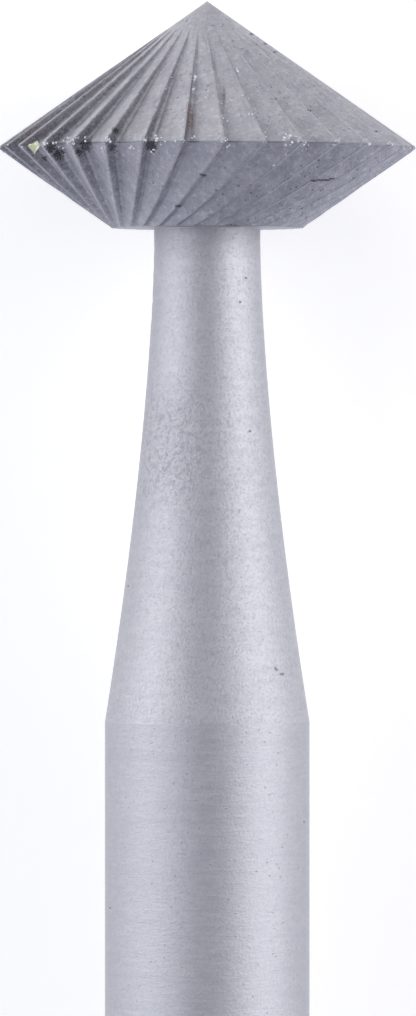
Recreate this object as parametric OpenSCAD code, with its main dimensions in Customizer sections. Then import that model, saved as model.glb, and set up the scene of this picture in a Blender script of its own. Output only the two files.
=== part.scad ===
// Double-cone cutting bur with milled teeth, turned from one steel rod and lying at rest on its side.

/* [Shank] */
// Length from the end of the shank to the tip of the head
overall_l = 44.5; // [38:0.5:60]
// Diameter of the shank that a collet grips
shank_d = 2.35; // [1.6:0.05:3]
// Chamfer round the end of the shank
shank_chamfer = 0.25; // [0.1:0.05:0.5]

/* [Neck] */
// Diameter of the neck where it meets the head
neck_d = 1.22; // [0.8:0.02:1.5]
// Length from the back of the head to the full shank
neck_l = 5.67; // [4:0.01:9]
// Straight length of the neck behind the head
neck_straight_l = 0.15; // [0.1:0.05:1]
// Power of the neck's flare: 1 is a plain taper, and higher values stay slim for longer
neck_flare = 1.56; // [1.2:0.02:2.4]

/* [Head] */
// Cutting diameter across the tips of the teeth
head_d = 4.8; // [4:0.1:6]
// Angle between the two cones at the rim
rim_angle = 70; // [60:1:90]
// Diameter of the flat back of the head
head_back_d = 2.2; // [1.9:0.05:2.5]
// Width of the band that blunts the rim
rim_land = 0.015; // [0.01:0.005:0.06]

/* [Teeth] */
// Number of teeth round the rim
teeth = 32; // [24:2:36]
// Width of the land behind each cutting edge, at the rim
tooth_land = 0.03; // [0.02:0.005:0.06]
// Depth of the teeth at the rim, towards the axis
tooth_depth = 0.27; // [0.15:0.01:0.4]
// Depth of the teeth at the back of the head
back_depth = 0.06; // [0.02:0.01:0.12]
// Diameter at which the front flutes fade out
front_flute_d = 0.9; // [0.7:0.05:2]
// Slant of the front flutes: 0 aims them at the axis, and 1 makes them graze their inner circle
front_slant = 0.14; // [0:0.02:0.8]
// Slant of the back flutes: 0 aims them at the axis, and 1 makes them graze the edge of the head's back
back_slant = 0.85; // [0:0.01:0.9]

/* [Hidden] */
steel = [0.66, 0.66, 0.70];

shank_r = shank_d / 2;
neck_r = neck_d / 2;
head_r = head_d / 2;
head_back_r = head_back_d / 2;
front_flute_r = front_flute_d / 2;
cone_angle = rim_angle / 2;

// Heights along the axis from the end of the shank
rim_z = overall_l - head_r * tan(cone_angle) - rim_land / 2;
head_back_z = rim_z - rim_land / 2 - (head_r - head_back_r) * tan(cone_angle);
shank_top_z = head_back_z - neck_l;

// Depth to which the neck is rooted inside the head, and the steps of its flare
neck_root = 0.5;
flare_steps = 28;

// Angles between the flutes' edges at the rim and a line straight to the axis
front_skew = asin(front_slant * front_flute_r / head_r);
back_skew = asin(back_slant * head_back_r / head_r);

// Angles round the axis
pitch = 360 / teeth;
land_angle = tooth_land / head_r * 180 / PI;
groove_angle = pitch - land_angle;

// Section of a tooth's flute as [share of the pitch, share of the depth]
cutting_edge = [0, 0];
root = [0.05, 1];
far_edge = [groove_angle / pitch, 0];
root_rake_share = 0.35;
root_back_share = 0.3;
root_steps = 2;

// Length that the head's back end has to spare before it is faced flat
back_spare = 0.3;

// Rings of the head between which the flutes run
front_steps = 3;
back_steps = 5;

// At rest the bur stands on two teeth and the end of its shank
tooth_phase = 90 + (pitch + land_angle) / 2;
rest_r = head_r * cos(groove_angle / 2);
rest_tilt = atan((rest_r - shank_r) / (rim_z - rim_land / 2 - shank_chamfer));
rest_lift = shank_r * cos(rest_tilt) - shank_chamfer * sin(rest_tilt);
tip_reach = overall_l * cos(rest_tilt);
shank_reach = (shank_r - shank_chamfer) * sin(rest_tilt);

function lerp(a, b, t) = a + (b - a) * t;

// Height of a cone above the rim plane, at a radius
function cone_height(r) = rim_land / 2 + (head_r - r) * tan(cone_angle);

// Plan distance inward from the rim at which a slanting edge reaches a radius
function edge_reach(r, skew) =
    head_r * cos(skew) - sqrt(pow(r, 2) - pow(head_r * sin(skew), 2));

// Point in plan that a slanting edge reaches, a distance inward from the rim
function edge_point(s, skew) = [head_r - s * cos(skew), -s * sin(skew)];

// Section of one tooth and its flute, with a rounded root between the rake face and the back
function tooth_section() =
    let (
        a = lerp(root, cutting_edge, root_rake_share),
        b = lerp(root, far_edge, root_back_share)
    )
    [
        cutting_edge,
        for (k = [0 : root_steps]) let (t = k / root_steps)
            lerp(lerp(a, root, t), lerp(root, b, t), t),
        far_edge
    ];

// Toothed ring of the head whose edges have come a distance inward from the rim
// The side is 1 on the front cone and -1 on the back cone
function head_ring(s, skew, depth, side) =
    let (
        edge = edge_point(s, skew),
        r = norm(edge),
        turn = tooth_phase + atan2(edge.y, edge.x),
        z = side * cone_height(r)
    )
    [for (i = [0 : teeth - 1]) for (p = tooth_section())
        let (a = turn + (i + p.x) * pitch, q = r - p.y * depth)
        [q * cos(a), q * sin(a), z]];

// Rings of one cone, from the rim to a radius
function cone_rings(skew, end_r, end_depth, steps, side) =
    let (end_s = edge_reach(end_r, skew))
    [for (k = [0 : steps]) let (t = k / steps)
        head_ring(t * end_s, skew, lerp(tooth_depth, end_depth, t), side)];

// Toothed double cone with its back end left long, with the rim plane at zero
module long_head() {
    front = cone_rings(front_skew, front_flute_r, 0, front_steps, 1);
    back = cone_rings(back_skew, head_back_r, back_depth, back_steps, -1);
    spare = [for (p = back[back_steps]) p - [0, 0, back_spare]];
    rings = concat([for (k = [front_steps - 1 : -1 : 0]) front[k]], back, [spare]);
    section = len(tooth_section());
    n = teeth * section;
    last = len(rings) - 1;

    // Front flutes close to a point each, and the smooth tip starts from those points
    fade = [for (i = [0 : teeth - 1]) front[front_steps][i * section]];
    points = [
        [0, 0, overall_l - rim_z],
        each fade,
        for (ring = rings) each ring
    ];
    first = 1 + teeth;
    tip_faces = [for (i = [0 : teeth - 1]) [0, 1 + (i + 1) % teeth, 1 + i]];
    fade_faces = [for (i = [0 : teeth - 1])
        let (
            point = 1 + i,
            next_point = 1 + (i + 1) % teeth,
            edge = first + i * section,
            far = edge + section - 1,
            next_edge = first + (i + 1) % teeth * section
        )
        each [
            for (k = [0 : section - 2]) [point, edge + k + 1, edge + k],
            [point, next_point, far],
            [next_point, next_edge, far]
        ]];
    side_faces = [for (k = [0 : last - 1]) for (i = [0 : n - 1])
        let (a = first + k * n + i, b = first + k * n + (i + 1) % n)
        each [[a, b, b + n], [a, b + n, a + n]]];
    back_face = [for (i = [0 : n - 1]) first + last * n + i];
    polyhedron(points, concat(tip_faces, fade_faces, side_faces, [back_face]));
}

module head() {
    difference() {
        long_head();
        translate([0, 0, -cone_height(head_back_r) - 2 * back_spare])
            cylinder(h = 2 * back_spare, r = head_r, $fn = 96);
    }
}

// Radius of the flaring neck at a share of its flare, from the head to the shank
function flare_r(t) = lerp(neck_r, shank_r, pow(t, neck_flare));

module neck_and_shank() {
    flare_top_z = head_back_z - neck_straight_l;
    flare = [for (k = [0 : flare_steps]) let (t = k / flare_steps)
        [flare_r(t), lerp(flare_top_z, shank_top_z, t)]];
    rotate_extrude($fn = 96)
        polygon(concat(
            [[0, 0], [shank_r - shank_chamfer, 0], [shank_r, shank_chamfer]],
            [for (k = [flare_steps : -1 : 0]) flare[k]],
            [[neck_r, head_back_z + neck_root], [0, head_back_z + neck_root]]
        ));
}

module bur() {
    color(steel)
        translate([0, (shank_reach - tip_reach) / 2, rest_lift])
            rotate([rest_tilt - 90, 0, 0]) {
                translate([0, 0, rim_z]) head();
                neck_and_shank();
            }
}

bur();
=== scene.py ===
"""Hart bur: one milled steel bur lying on its side, seen from above."""

import math
import random

import bmesh
import bpy
from mathutils import Matrix, Vector
from mathutils.bvhtree import BVHTree


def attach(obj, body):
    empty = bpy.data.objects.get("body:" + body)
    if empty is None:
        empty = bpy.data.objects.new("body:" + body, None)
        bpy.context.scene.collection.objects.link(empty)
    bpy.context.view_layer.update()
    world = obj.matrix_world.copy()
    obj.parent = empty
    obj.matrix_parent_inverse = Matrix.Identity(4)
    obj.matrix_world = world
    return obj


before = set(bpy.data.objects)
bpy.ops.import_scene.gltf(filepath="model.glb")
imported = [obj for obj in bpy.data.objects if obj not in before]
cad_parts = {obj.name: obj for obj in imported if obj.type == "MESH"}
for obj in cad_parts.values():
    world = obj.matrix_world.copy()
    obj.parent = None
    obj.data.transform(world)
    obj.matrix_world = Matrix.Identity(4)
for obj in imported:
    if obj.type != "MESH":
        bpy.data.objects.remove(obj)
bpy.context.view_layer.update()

MM = 0.001

# Sizes of the bur in millimetres, as in its CAD source
OVERALL_L = 44.5
SHANK_R = 1.175
SHANK_CHAMFER = 0.25
HEAD_R = 2.4
HEAD_BACK_R = 1.1
RIM_LAND = 0.015
NECK_L = 5.67
TEETH = 32
TOOTH_LAND = 0.03
FRONT_SKEW = math.asin(0.14 * 0.45 / HEAD_R)
BACK_SKEW = math.asin(0.85 * HEAD_BACK_R / HEAD_R)
CONE_SLOPE = math.tan(math.radians(35))
RIM_Z = OVERALL_L - HEAD_R * CONE_SLOPE - RIM_LAND / 2
HEAD_BACK_Z = RIM_Z - RIM_LAND / 2 - (HEAD_R - HEAD_BACK_R) * CONE_SLOPE
SHANK_TOP_Z = HEAD_BACK_Z - NECK_L

# How the bur lies: on two teeth and the end of its shank
PITCH = 2 * math.pi / TEETH
LAND_ANGLE = TOOTH_LAND / HEAD_R
REST_R = HEAD_R * math.cos((PITCH - LAND_ANGLE) / 2)
TILT = math.atan((REST_R - SHANK_R) / (RIM_Z - RIM_LAND / 2 - SHANK_CHAMFER))
LIFT = SHANK_R * math.cos(TILT) - SHANK_CHAMFER * math.sin(TILT)
END_Y = ((SHANK_R - SHANK_CHAMFER) * math.sin(TILT) - OVERALL_L * math.cos(TILT)) / 2
# Angle of the first cutting edge round the bur's own axis
FIRST_TOOTH = math.pi / 2 + (PITCH + LAND_ANGLE) / 2
# From the bur's own millimetres, with its axis along Z, to the row frame in metres
PLACE = (
    Matrix.Scale(MM, 4)
    @ Matrix.Translation((0, END_Y, LIFT))
    @ Matrix.Rotation(TILT - math.pi / 2, 4, "X")
)

# The photograph's view
PICTURE_W, PICTURE_H = 416, 1016
PX_PER_MM = 87.085
APEX_Y = 1.1
AXIS_X = 207.2
VIEW_DISTANCE = 124.0
VIEW_ROLL = math.radians(1.12)


def own(x, y, z):
    """A point given in the bur's own millimetres, in the row frame."""
    return PLACE @ Vector((x, y, z))


def own_direction(x, y, z):
    return (PLACE.to_3x3() @ Vector((x, y, z))).normalized()


AXIS = own_direction(0, 0, 1)
TOWARDS_CAMERA = own_direction(math.sin(VIEW_ROLL), -math.cos(VIEW_ROLL), 0)
PICTURE_RIGHT = AXIS.cross(TOWARDS_CAMERA).normalized()


# Camera

def add_camera():
    aim_z = OVERALL_L - (PICTURE_H / 2 - APEX_Y) / PX_PER_MM
    aim = own(0, 0, aim_z) + PICTURE_RIGHT * ((PICTURE_W / 2 - AXIS_X) / PX_PER_MM * MM)
    data = bpy.data.cameras.new("camera")
    data.sensor_width = 36
    data.lens = data.sensor_width * VIEW_DISTANCE * PX_PER_MM / PICTURE_H
    data.clip_start = 0.001
    data.clip_end = 10
    camera = bpy.data.objects.new("camera", data)
    turn = Matrix((PICTURE_RIGHT, AXIS, TOWARDS_CAMERA)).transposed().to_4x4()
    camera.matrix_world = Matrix.Translation(aim + TOWARDS_CAMERA * VIEW_DISTANCE * MM) @ turn
    bpy.context.scene.collection.objects.link(camera)
    bpy.context.scene.camera = camera
    return camera


# Marks are placed where they show in the picture, on the plain double cone that the teeth were cut from

def plain_bur():
    """Search tree of the bur before its teeth were cut, in the row frame."""
    sides = 256
    profile = [(SHANK_R, 0), (SHANK_R, SHANK_TOP_Z), (0.61, HEAD_BACK_Z - 0.15), (0.61, HEAD_BACK_Z),
               (HEAD_BACK_R, HEAD_BACK_Z), (HEAD_R, RIM_Z), (0.001, OVERALL_L)]
    points, faces = [], []
    for r, z in profile:
        for i in range(sides):
            a = 2 * math.pi * i / sides
            points.append(own(r * math.cos(a), r * math.sin(a), z))
    for k in range(len(profile) - 1):
        for i in range(sides):
            j = (i + 1) % sides
            faces.append((k * sides + i, k * sides + j, (k + 1) * sides + j, (k + 1) * sides + i))
    return BVHTree.FromPolygons(points, faces)


def seen_at(tree, px, py):
    """Point and outward direction of the surface that shows at a place in the picture."""
    z = OVERALL_L - (py - APEX_Y) / PX_PER_MM
    through = own(0, 0, z) + PICTURE_RIGHT * ((px - AXIS_X) / PX_PER_MM * MM)
    eye = bpy.context.scene.camera.matrix_world.translation
    point, normal, _, _ = tree.ray_cast(eye, (through - eye).normalized())
    if normal.dot(TOWARDS_CAMERA) < 0:
        normal = -normal
    return point, normal


# Lights and floor

def add_area(name, direction, distance, width, height, power, colour=(1, 1, 1)):
    """A soft box that faces the head from a direction given as right, up the picture and towards the camera."""
    data = bpy.data.lights.new(name, "AREA")
    data.shape = "RECTANGLE"
    data.size = width * MM
    data.size_y = height * MM
    data.energy = power
    data.color = colour
    light = bpy.data.objects.new(name, data)
    right, up, near = direction
    away = (PICTURE_RIGHT * right + AXIS * up + TOWARDS_CAMERA * near).normalized()
    light.location = own(0, 0, OVERALL_L - 5) + away * distance * MM
    light.rotation_euler = away.to_track_quat("Z", "Y").to_euler()
    bpy.context.scene.collection.objects.link(light)


def add_world():
    world = bpy.data.worlds.new("studio")
    bpy.context.scene.world = world
    world.use_nodes = True
    background = world.node_tree.nodes["Background"]
    background.inputs["Color"].default_value = (0.86, 0.87, 0.93, 1)
    background.inputs["Strength"].default_value = 0.55


def add_floor():
    mesh = bpy.data.meshes.new("floor")
    side = 2.0
    corners = [(-side, -side, 0), (side, -side, 0), (side, side, 0), (-side, side, 0)]
    mesh.from_pydata(corners, [], [(0, 1, 2, 3)])
    floor = bpy.data.objects.new("floor", mesh)
    bpy.context.scene.collection.objects.link(floor)
    material = bpy.data.materials.new("floor")
    material.use_nodes = True
    tree = material.node_tree
    surface = tree.nodes["Principled BSDF"]
    surface.inputs["Base Color"].default_value = (0.86, 0.86, 0.87, 1)
    surface.inputs["Roughness"].default_value = 0.9
    surface.inputs["Specular IOR Level"].default_value = 0.1
    n = Nodes(material)
    path = n.add("ShaderNodeLightPath").outputs
    seen = n.math("ADD", path["Is Camera Ray"], path["Is Glossy Ray"])
    surface.inputs["Emission Color"].default_value = (1, 1, 1, 1)
    n.feed(surface.inputs["Emission Strength"], n.math("MULTIPLY", seen, 0.36))
    mesh.materials.append(material)


# Steel

class Nodes:
    """Short ways to add and join shader nodes."""

    def __init__(self, material):
        material.use_nodes = True
        self.tree = material.node_tree

    def add(self, kind, **settings):
        node = self.tree.nodes.new(kind)
        for key, value in settings.items():
            setattr(node, key, value)
        return node

    def feed(self, socket, value):
        if isinstance(value, bpy.types.NodeSocket):
            self.tree.links.new(value, socket)
        elif value is not None:
            socket.default_value = value

    def math(self, operation, a, b=None, c=None, clamp=False):
        node = self.add("ShaderNodeMath", operation=operation, use_clamp=clamp)
        for socket, value in zip(node.inputs, (a, b, c)):
            self.feed(socket, value)
        return node.outputs[0]

    def ramp(self, value, low, high, to_low=0.0, to_high=1.0):
        node = self.add("ShaderNodeMapRange", clamp=True, interpolation_type="SMOOTHSTEP")
        for socket, v in zip(node.inputs, (value, low, high, to_low, to_high)):
            self.feed(socket, v)
        return node.outputs[0]

    def noise(self, vector, scale, detail=2.0, roughness=0.5):
        node = self.add("ShaderNodeTexNoise")
        self.feed(node.inputs["Vector"], vector)
        node.inputs["Scale"].default_value = scale
        node.inputs["Detail"].default_value = detail
        node.inputs["Roughness"].default_value = roughness
        return node.outputs["Fac"]

    def stretch(self, vector, scale):
        node = self.add("ShaderNodeVectorMath", operation="MULTIPLY")
        self.feed(node.inputs[0], vector)
        node.inputs[1].default_value = scale
        return node.outputs[0]

    def mix(self, factor, a, b):
        node = self.add("ShaderNodeMix", data_type="RGBA")
        self.feed(node.inputs["Factor"], factor)
        self.feed(node.inputs["A"], a)
        self.feed(node.inputs["B"], b)
        return node.outputs["Result"]

    def blend(self, factor, a, b):
        node = self.add("ShaderNodeMix", data_type="FLOAT")
        self.feed(node.inputs["Factor"], factor)
        self.feed(node.inputs["A"], a)
        self.feed(node.inputs["B"], b)
        return node.outputs["Result"]

    def beside(self, vector, point, direction, squeeze=(1, 1, 1)):
        """Distance from a line through a point, on the side of the bur that the line's direction points to."""
        offset = self.add("ShaderNodeVectorMath", operation="SUBTRACT")
        self.feed(offset.inputs[0], vector)
        offset.inputs[1].default_value = point
        squeezed = self.add("ShaderNodeVectorMath", operation="MULTIPLY")
        self.feed(squeezed.inputs[0], offset.outputs[0])
        squeezed.inputs[1].default_value = squeeze
        across = self.add("ShaderNodeVectorMath", operation="CROSS_PRODUCT")
        self.feed(across.inputs[0], squeezed.outputs[0])
        across.inputs[1].default_value = direction
        length = self.add("ShaderNodeVectorMath", operation="LENGTH")
        self.feed(length.inputs[0], across.outputs[0])
        along = self.add("ShaderNodeVectorMath", operation="DOT_PRODUCT")
        self.feed(along.inputs[0], offset.outputs[0])
        along.inputs[1].default_value = direction
        far_side = self.math("LESS_THAN", along.outputs["Value"], -0.7)
        return self.math("ADD", length.outputs["Value"], far_side)

    def near(self, vector, point, direction, size, ragged, grain, squeeze=(1, 1, 1)):
        """1 within a size of a line through a point, with a ragged edge."""
        away = self.beside(vector, point, direction, squeeze)
        wobble = self.math("MULTIPLY", self.math("SUBTRACT", grain, 0.5), size * ragged * 2)
        return self.ramp(self.math("ADD", away, wobble), size, size * 0.6)

    def spots(self, vector, scale, low, high, seed_shift=0.0):
        """Round spots of changing size: 1 inside a spot and 0 between them."""
        node = self.add("ShaderNodeTexVoronoi", feature="F1")
        node.inputs["Scale"].default_value = scale
        shifted = self.add("ShaderNodeVectorMath", operation="ADD")
        self.feed(shifted.inputs[0], vector)
        shifted.inputs[1].default_value = (seed_shift, seed_shift, seed_shift)
        self.feed(node.inputs["Vector"], shifted.outputs[0])
        return self.ramp(node.outputs["Distance"], low, high, 1.0, 0.0)


# Dark spots of the head as place across and down the picture, size in pixels, raggedness, and squash:
# below 1 the spot is wider than it is high
DARK_SPOTS = [(151.5, 146, 6.5, 1.0, 1), (86, 145, 6, 2.4, 1), (79, 152, 4, 2.6, 1), (51, 147, 5, 2.2, 1),
              (58, 153, 6, 2.8, 1), (44, 158, 3, 2.2, 1), (115, 130, 3.2, 1.6, 1), (113, 147, 4, 2.8, 1),
              (314, 180.6, 1.0, 0.4, 0.2), (321, 179.7, 1.1, 0.4, 0.2), (327, 179.9, 1.1, 0.4, 0.25),
              (332, 178.6, 1.0, 0.4, 0.25), (203, 175, 1.3, 1.2, 0.35), (178, 206, 1.5, 1.2, 0.4),
              (232, 227, 1.5, 2, 0.2), (252, 34, 1.3, 1.8, 0.5), (265, 44, 1.2, 1.6, 0.5),
              (275, 52, 1.1, 1.6, 0.5), (310, 110, 1.1, 1.4, 0.4), (376, 131, 1.2, 1.4, 0.5)]

# A place with many small pits, and its size
PITTED_PLACE = (308, 196)
PITTED_SIZE = 32

# Rusty stretches of the flutes, in the same form as the dark spots
RUST_SPOTS = [(190, 117, 19, 0.5, 4.5), (224, 96, 12, 0.8, 6)]

# The same for nicks on the neck and shank
NICKS = [(276, 669, 1.8, 1.4, 1), (282, 674, 1.5, 1.2, 0.6), (240, 302, 1.4, 1.2, 1), (246, 278, 1.1, 1.2, 0.6),
         (110, 908, 1.5, 1.4, 1), (304, 822, 1.4, 1.2, 1), (128, 586, 1.2, 1.2, 1), (250, 431, 1.2, 1.3, 0.7)]


def steel_material(tree):
    material = bpy.data.materials.new("steel")
    n = Nodes(material)
    surface = n.tree.nodes["Principled BSDF"]

    # Coordinates in the bur's own millimetres, with the axis along Z
    to_own = PLACE.inverted()
    place, turn, scale = to_own.decompose()
    where = n.add("ShaderNodeTexCoord").outputs["Object"]
    mapping = n.add("ShaderNodeMapping")
    n.feed(mapping.inputs["Vector"], where)
    mapping.inputs["Location"].default_value = place
    mapping.inputs["Rotation"].default_value = turn.to_euler()
    mapping.inputs["Scale"].default_value = scale
    at = mapping.outputs["Vector"]
    xyz = n.add("ShaderNodeSeparateXYZ")
    n.feed(xyz.inputs[0], at)
    x, y, z = xyz.outputs
    radius = n.math("SQRT", n.math("ADD", n.math("MULTIPLY", x, x), n.math("MULTIPLY", y, y)))
    angle = n.math("ARCTAN2", y, x)

    on_head = n.ramp(z, HEAD_BACK_Z - 0.01, HEAD_BACK_Z + 0.01)
    on_shank = n.ramp(z, SHANK_TOP_Z + 0.01, SHANK_TOP_Z - 0.01)

    # Depth under the plain cones: 0 on the cutting edges and more inside the flutes
    cone_r = n.math("SUBTRACT", HEAD_R, n.math("DIVIDE", n.math("ABSOLUTE", n.math("SUBTRACT", z, RIM_Z)), CONE_SLOPE))
    depth = n.math("SUBTRACT", cone_r, radius)
    near_rim = n.ramp(cone_r, HEAD_R - 0.75, HEAD_R - 0.1)

    # Share of a tooth's pitch past its cutting edge: 0 on the steep face, rising along the back
    def edge_turn(skew):
        reach = n.math("DIVIDE", HEAD_R * math.sin(skew), cone_r)
        return n.math("SUBTRACT", n.math("ARCSINE", n.math("MINIMUM", reach, 1.0)), skew)

    on_front = n.math("GREATER_THAN", z, RIM_Z)
    turn_by = n.blend(on_front, edge_turn(BACK_SKEW), edge_turn(FRONT_SKEW))
    from_edge = n.math("SUBTRACT", n.math("ADD", angle, turn_by), FIRST_TOOTH - 0.01)
    share = n.math("FRACT", n.math("DIVIDE", n.math("ADD", from_edge, math.tau), PITCH))

    # Head: soft milling marks that run from the tip towards the rim
    polar = n.add("ShaderNodeCombineXYZ")
    n.feed(polar.inputs[0], angle)
    n.feed(polar.inputs[1], n.math("MULTIPLY", radius, 0.12))
    n.feed(polar.inputs[2], n.math("MULTIPLY", z, 0.1))
    milled = n.noise(polar.outputs[0], 22, 4, 0.65)
    mottle = n.noise(at, 4.5, 4, 0.65)
    grain = n.noise(at, 16, 4, 0.7)
    fine = n.noise(at, 60, 3, 0.7)
    crumbly = n.noise(at, 30, 4, 0.8)
    patches = n.ramp(n.noise(at, 1.7, 2, 0.5), 0.42, 0.62)
    pits = n.math("MULTIPLY", n.spots(at, 11, 0.14, 0.2), patches)
    small_pits = n.spots(at, 26, 0.12, 0.24, 3.1)
    dark = n.math("MAXIMUM", n.math("MULTIPLY", pits, 0.5), n.math("MULTIPLY", small_pits, 0.3))

    back_colour = n.mix(n.ramp(mottle, 0.35, 0.65), (0.33, 0.34, 0.41, 1), (0.43, 0.435, 0.505, 1))
    front_colour = n.mix(n.ramp(mottle, 0.35, 0.65), (0.39, 0.385, 0.425, 1), (0.48, 0.475, 0.51, 1))
    head_colour = n.mix(on_front, back_colour, front_colour)
    head_colour = n.mix(n.ramp(milled, 0.52, 0.7, 0, 0.32), head_colour, (0.26, 0.25, 0.29, 1))
    head_colour = n.mix(n.ramp(fine, 0.42, 0.64, 0, 0.3), head_colour, (0.24, 0.24, 0.28, 1))
    head_colour = n.mix(n.ramp(grain, 0.52, 0.68, 0, 0.35), head_colour, (0.72, 0.72, 0.77, 1))
    head_colour = n.mix(n.ramp(grain, 0.44, 0.32, 0, 0.3), head_colour, (0.22, 0.2, 0.24, 1))

    # Painted shade and dirt on the steep faces and in the roots, thickest by the rim and less on the right, with a
    # little rust
    ragged_share = n.math("ADD", share, n.math("MULTIPLY", n.math("SUBTRACT", grain, 0.5), 0.14))
    front_dirt_and_shade = n.ramp(ragged_share, 0.17, 0.06)
    back_dirt_and_shade = n.ramp(ragged_share, 0.12, 0.05)
    dirt_and_shade = n.math("MULTIPLY", n.blend(on_front, back_dirt_and_shade, front_dirt_and_shade), n.ramp(depth, 0.0, 0.03))
    dirt_and_shade = n.math("MULTIPLY", dirt_and_shade, n.blend(near_rim, 0.3, 0.62))
    less_right = n.ramp(n.math("DIVIDE", x, radius), -0.05, 0.3, 1.0, 0.3)
    dirt_and_shade = n.math("MULTIPLY", dirt_and_shade, less_right)
    dirt_and_shade = n.math("MULTIPLY", dirt_and_shade, n.ramp(crumbly, 0.4, 0.6, 0.55, 1.35), clamp=True)
    rust = n.ramp(n.noise(at, 1.4, 3, 0.6), 0.5, 0.64)
    dirt_and_shade_colour = n.mix(n.math("MULTIPLY", rust, 0.6), (0.10, 0.10, 0.12, 1), (0.19, 0.13, 0.11, 1))
    head_colour = n.mix(dirt_and_shade, head_colour, dirt_and_shade_colour)
    head_colour = n.mix(dark, head_colour, (0.10, 0.09, 0.11, 1))

    # Painted shade on the edges of the back, on the right
    back_edge_shade = n.math("MULTIPLY", n.ramp(depth, 0.014, 0.0), n.math("SUBTRACT", 1.0, on_front))
    back_edge_shade = n.math("MULTIPLY", back_edge_shade, n.ramp(less_right, 1.0, 0.3, 0, 0.3))
    head_colour = n.mix(back_edge_shade, head_colour, (0.2, 0.205, 0.25, 1))

    # Bright wear and painted highlight on the cutting edges by the rim, mostly on the left
    wear_and_highlight = n.math("MULTIPLY", n.ramp(depth, 0.012, 0.0), n.ramp(crumbly, 0.5, 0.62))
    wear_and_highlight = n.math("MULTIPLY", wear_and_highlight, n.math("MULTIPLY", near_rim, n.math("MULTIPLY", less_right, 0.4)))
    head_colour = n.mix(wear_and_highlight, head_colour, (0.85, 0.86, 0.9, 1))
    band = n.math("LESS_THAN", n.math("ABSOLUTE", n.math("SUBTRACT", z, RIM_Z)), RIM_LAND / 2 + 0.003)
    head_colour = n.mix(n.math("MULTIPLY", band, 0.6), head_colour, (0.22, 0.22, 0.25, 1))

    # Dark pits, cracks and mottling where they show in the picture
    view = (math.sin(VIEW_ROLL), -math.cos(VIEW_ROLL), 0)
    marks = None
    for px, py, size, ragged, squash in DARK_SPOTS:
        point, _ = seen_at(tree, px, py)
        spot = n.near(at, PLACE.inverted() @ point, view, size / PX_PER_MM, ragged, crumbly, (squash, squash, 1))
        marks = spot if marks is None else n.math("MAXIMUM", marks, spot)
    marks = n.math("MULTIPLY", marks, n.ramp(fine, 0.6, 0.42, 0.6, 0.95))
    point, _ = seen_at(tree, *PITTED_PLACE)
    pitted = n.near(at, PLACE.inverted() @ point, view, PITTED_SIZE / PX_PER_MM, 0.4, grain)
    pitted = n.math("MULTIPLY", pitted, n.math("MULTIPLY", n.spots(at, 13, 0.12, 0.21, 5.2), 0.6))
    marks = n.math("MAXIMUM", marks, pitted)
    for px, py, size, ragged, squash in RUST_SPOTS:
        point, _ = seen_at(tree, px, py)
        spot = n.near(at, PLACE.inverted() @ point, view, size / PX_PER_MM, ragged, crumbly, (squash, squash, 1))
        head_colour = n.mix(n.math("MULTIPLY", spot, n.ramp(crumbly, 0.4, 0.6, 0.15, 0.8)), head_colour,
                            (0.20, 0.125, 0.105, 1))
    head_colour = n.mix(marks, head_colour, (0.03, 0.03, 0.035, 1))

    # Neck: matt, with fine pits, a rougher patch on its left side, painted shade on its left and a painted shadow
    # under the head
    turned = n.noise(n.stretch(at, (3, 3, 14)), 1.0, 4, 0.7)
    speckle = n.noise(at, 30, 3, 0.75)
    blotches = n.noise(at, 15, 4, 0.75)
    neck_colour = n.mix(n.ramp(turned, 0.3, 0.7), (0.455, 0.46, 0.51, 1), (0.515, 0.515, 0.555, 1))
    neck_pits = n.spots(at, 17, 0.08, 0.2, 7.7)
    streaky_pits = n.spots(n.stretch(at, (0.5, 0.5, 1)), 22, 0.1, 0.2, 4.4)
    neck_pits = n.math("MAXIMUM", neck_pits, streaky_pits)
    rough_patch = n.ramp(n.math("ABSOLUTE", n.math("SUBTRACT", z, OVERALL_L - 5.1)), 1.0, 0.2)
    left_side = n.ramp(x, 0.15, -0.35)
    rough_patch = n.math("MULTIPLY", rough_patch, n.blend(left_side, 0.12, 1.0))
    # Painted shade on the left side of the neck
    painted_left_shade = n.math("MULTIPLY", left_side, n.ramp(z, OVERALL_L - 7.6, OVERALL_L - 5.6, 0.1, 0.26))
    neck_colour = n.mix(painted_left_shade, neck_colour, (0.38, 0.385, 0.44, 1))
    # Painted shadow of the head on the top of the neck
    under_head_shadow = n.ramp(z, HEAD_BACK_Z - 0.5, HEAD_BACK_Z, 0, 0.45)
    neck_colour = n.mix(under_head_shadow, neck_colour, (0.33, 0.33, 0.38, 1))
    neck_colour = n.mix(n.math("MULTIPLY", n.ramp(blotches, 0.45, 0.62), n.blend(rough_patch, 0.12, 0.5)),
                        neck_colour, (0.27, 0.26, 0.31, 1))
    neck_colour = n.mix(n.math("MULTIPLY", neck_pits, 0.08), neck_colour, (0.22, 0.21, 0.25, 1))
    neck_colour = n.mix(n.ramp(speckle, 0.47, 0.68, 0, 0.42), neck_colour, (0.32, 0.32, 0.36, 1))

    # Shank: ground, with short rings and specks
    rings = n.noise(n.stretch(at, (4.5, 4.5, 26)), 1.0, 4, 0.75)
    long_rings = n.noise(n.stretch(at, (0.5, 0.5, 7)), 1.0, 3, 0.6)
    shank_colour = n.mix(n.ramp(rings, 0.3, 0.7), (0.42, 0.425, 0.48, 1), (0.495, 0.495, 0.535, 1))
    shank_colour = n.mix(n.ramp(long_rings, 0.5, 0.7, 0, 0.3), shank_colour, (0.40, 0.405, 0.455, 1))
    shank_colour = n.mix(n.ramp(speckle, 0.45, 0.66, 0, 0.46), shank_colour, (0.36, 0.36, 0.41, 1))
    shank_pits = n.spots(n.stretch(at, (0.6, 0.6, 1)), 13, 0.06, 0.12, 9.1)
    shank_colour = n.mix(n.math("MULTIPLY", shank_pits, 0.4), shank_colour, (0.22, 0.21, 0.24, 1))

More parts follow.
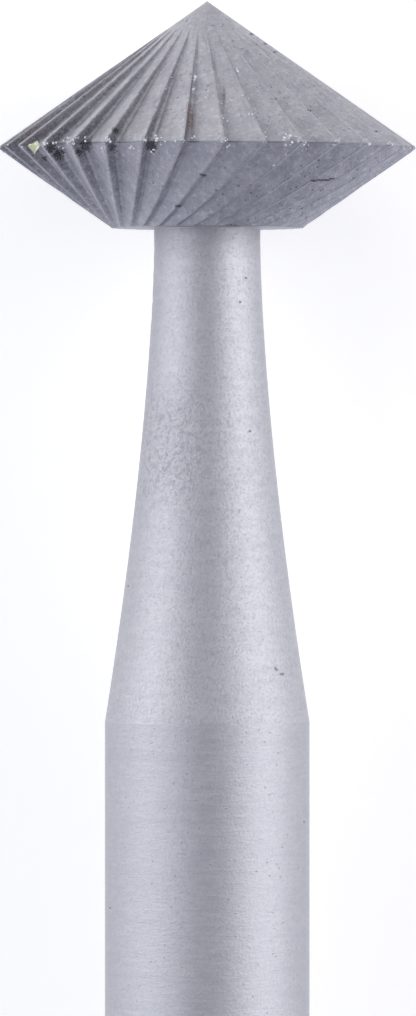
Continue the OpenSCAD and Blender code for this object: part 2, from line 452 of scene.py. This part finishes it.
    # Nicks on the neck and shank where they show in the picture
    nicks = None
    for px, py, size, ragged, squash in NICKS:
        point, _ = seen_at(tree, px, py)
        nick = n.near(at, PLACE.inverted() @ point, view, size / PX_PER_MM, ragged, grain, (squash, squash, 1))
        nicks = nick if nicks is None else n.math("MAXIMUM", nicks, nick)
    nicks = n.math("MULTIPLY", nicks, 0.7)
    neck_colour = n.mix(nicks, neck_colour, (0.16, 0.15, 0.18, 1))
    shank_colour = n.mix(nicks, shank_colour, (0.16, 0.15, 0.18, 1))

    colour = n.mix(on_head, neck_colour, head_colour)
    colour = n.mix(on_shank, colour, shank_colour)
    n.feed(surface.inputs["Base Color"], colour)

    roughness = n.blend(on_head, 0.49, n.ramp(mottle, 0.3, 0.7, 0.42, 0.55))
    roughness = n.blend(on_shank, roughness, n.ramp(rings, 0.3, 0.7, 0.43, 0.51))
    n.feed(surface.inputs["Roughness"], roughness)
    surface.inputs["Metallic"].default_value = 0.85

    head_relief = n.math("ADD", n.math("MULTIPLY", grain, 1.0), n.math("MULTIPLY", fine, 0.45))
    head_relief = n.math("ADD", head_relief, n.math("MULTIPLY", milled, 0.6))
    head_relief = n.math("SUBTRACT", head_relief, n.math("MULTIPLY", pits, 0.8))
    head_relief = n.math("ADD", head_relief, n.math("MULTIPLY", dirt_and_shade, n.math("MULTIPLY", grain, 1.2)))
    neck_relief = n.math("ADD", n.math("MULTIPLY", blotches, n.blend(rough_patch, 0.25, 1.3)),
                         n.math("MULTIPLY", speckle, 0.35))
    neck_relief = n.math("SUBTRACT", neck_relief, n.math("MULTIPLY", neck_pits, 0.15))
    shank_relief = n.math("ADD", n.math("MULTIPLY", rings, 0.45), n.math("MULTIPLY", speckle, 0.35))
    shank_relief = n.math("SUBTRACT", shank_relief, n.math("MULTIPLY", shank_pits, 0.3))
    relief_dent = n.math("MULTIPLY", nicks, 0.8)
    neck_relief = n.math("SUBTRACT", neck_relief, relief_dent)
    shank_relief = n.math("SUBTRACT", shank_relief, relief_dent)
    relief = n.blend(on_head, neck_relief, head_relief)
    relief = n.blend(on_shank, relief, shank_relief)
    bump = n.add("ShaderNodeBump")
    bump.inputs["Strength"].default_value = 1.0
    bump.inputs["Distance"].default_value = 0.012 * MM
    n.feed(bump.inputs["Height"], relief)
    n.feed(surface.inputs["Normal"], bump.outputs[0])
    return material


# Burrs and grit

def plain_material(name, colour, roughness, metallic, speck=None):
    """Grainy material whose colour wavers between a colour and a darker speck."""
    material = bpy.data.materials.new(name)
    n = Nodes(material)
    surface = n.tree.nodes["Principled BSDF"]
    at = n.add("ShaderNodeTexCoord").outputs["Object"]
    grains = n.noise(at, 42000, 3, 0.6)
    dark = speck or tuple(c * 0.6 for c in colour)
    n.feed(surface.inputs["Base Color"], n.mix(n.ramp(grains, 0.35, 0.65), (*dark, 1), (*colour, 1)))
    surface.inputs["Roughness"].default_value = roughness
    surface.inputs["Metallic"].default_value = metallic
    return material


def add_piece(name, mesh_data, material):
    mesh = bpy.data.meshes.new(name)
    mesh_data.to_mesh(mesh)
    mesh_data.free()
    mesh.materials.append(material)
    piece = bpy.data.objects.new(name, mesh)
    bpy.context.scene.collection.objects.link(piece)
    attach(piece, "root")
    return piece


def crumb(mesh, rng, point, size, flat=0.6):
    """Small jagged grain of metal at a point, its size in millimetres."""
    turn = Matrix.Rotation(rng.uniform(0, math.tau), 4, Vector((rng.gauss(0, 1), rng.gauss(0, 1), rng.gauss(0, 1))))
    stretch = Matrix.Diagonal((rng.uniform(0.7, 1.5), rng.uniform(0.6, 1.1), flat * rng.uniform(0.6, 1.3), 1))
    placed = Matrix.Translation(point) @ turn @ stretch @ Matrix.Scale(size * MM, 4)
    made = bmesh.ops.create_icosphere(mesh, subdivisions=1, radius=1.0)
    for vertex in made["verts"]:
        vertex.co = placed @ (vertex.co * rng.uniform(0.65, 1.25))


def add_burrs(tree):
    """Burrs: grains of metal on the tips and edges of the teeth, with a painted glint in their pale colour."""
    rng = random.Random(71)
    mesh = bmesh.new()
    for tooth in range(TEETH):
        a = FIRST_TOOTH + tooth * PITCH - LAND_ANGLE / 2
        heavy = rng.random() < 0.3
        for _ in range(rng.randint(6, 11) if heavy else rng.randint(2, 5)):
            spread = 0.028 if heavy else 0.016
            z = rng.gauss(0, spread)
            r = HEAD_R - 0.012 - abs(z) / CONE_SLOPE
            turn = a + rng.gauss(0, spread * 1.3) / HEAD_R
            crumb(mesh, rng, own(r * math.cos(turn), r * math.sin(turn), RIM_Z + z), rng.uniform(0.009, 0.022))
        for _ in range(rng.randint(1, 5)):
            out = 1 - rng.random() ** 2 * 0.5
            r = HEAD_R * out - 0.004
            z = RIM_Z + (HEAD_R - r) * CONE_SLOPE
            crumb(mesh, rng, own(r * math.cos(a), r * math.sin(a), z), rng.uniform(0.004, 0.009))
    # Larger clusters that show in the picture, as place across and down, spread and number of grains
    clusters = [(292, 138, 5, 16), (300, 145, 4, 8), (263, 136, 3, 7), (224, 139, 3, 9), (228, 146, 2, 5),
                (183, 140, 2.5, 6), (195, 138, 1.5, 3), (144, 138, 2.5, 8), (156, 137, 3, 8), (160, 143, 2, 4), (153, 152, 2, 5),
                (131, 147, 2, 4), (108, 139, 3, 8), (104, 148, 2, 4), (69, 139, 3, 8), (77, 137, 2, 5), (84, 141, 2, 3), (55, 142, 2, 3), (66, 147, 3, 5),
                (338, 141, 1.5, 4), (368, 142, 1.5, 3), (403, 148, 1.5, 3), (411, 147, 1.5, 3),
                (222, 103, 2, 4), (224, 118, 2, 4), (238, 70, 3, 4), (253, 112, 3, 4), (248, 100, 3, 3),
                (324, 125, 1, 2), (196, 79, 1.5, 4), (194, 88, 1, 2), (275, 166, 1, 1), (289, 155, 1, 2)]
    for px, py, spread, number in clusters:
        for _ in range(number):
            at_x, at_y = px + rng.gauss(0, spread), py + rng.gauss(0, spread * 0.8)
            point, normal = seen_at(tree, at_x, at_y)
            crumb(mesh, rng, point - normal * 0.003 * MM, rng.uniform(0.006, 0.019))
    # The grains are steel burrs, and their pale colour is a painted glint
    add_piece("burrs", mesh, plain_material("burrs_painted_glint", (0.9, 0.91, 0.95), 0.5, 0.2, (0.55, 0.57, 0.62)))


def add_fleck(tree):
    """Pale yellow fleck caught between two teeth at the left of the rim."""
    outline = [(28.3, 145.6), (37.4, 141.2), (39.6, 146.6), (36.6, 150.4), (35, 153)]
    mesh = bmesh.new()
    spots = [seen_at(tree, px, py) for px, py in outline]
    lower = [mesh.verts.new(point - normal * 0.02 * MM) for point, normal in spots]
    upper = [mesh.verts.new(point + normal * 0.008 * MM) for point, normal in spots]
    mesh.faces.new(upper)
    mesh.faces.new(lower[::-1])
    for i in range(len(outline)):
        j = (i + 1) % len(outline)
        mesh.faces.new((lower[i], lower[j], upper[j], upper[i]))
    bmesh.ops.recalc_face_normals(mesh, faces=mesh.faces[:])
    add_piece("fleck", mesh, plain_material("pale_fleck", (0.76, 0.78, 0.56), 0.7, 0.0, (0.62, 0.66, 0.47)))


bpy.context.scene.view_settings.view_transform = "Standard"
camera = add_camera()
add_world()
add_floor()
add_area("left_box", (-0.93, -0.02, 0.36), 170, 80, 320, 0.14, (0.97, 0.98, 1))
add_area("right_box", (0.97, 0.12, 0.24), 170, 170, 320, 0.325, (1, 0.985, 0.98))
add_area("top_box", (-0.9, 0.72, 0.22), 170, 90, 90, 0.1, (1, 0.99, 0.965))

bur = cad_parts["bur"]
bur.data.materials.clear()
plain = plain_bur()
bur.data.materials.append(steel_material(plain))
add_burrs(plain)
add_fleck(plain)
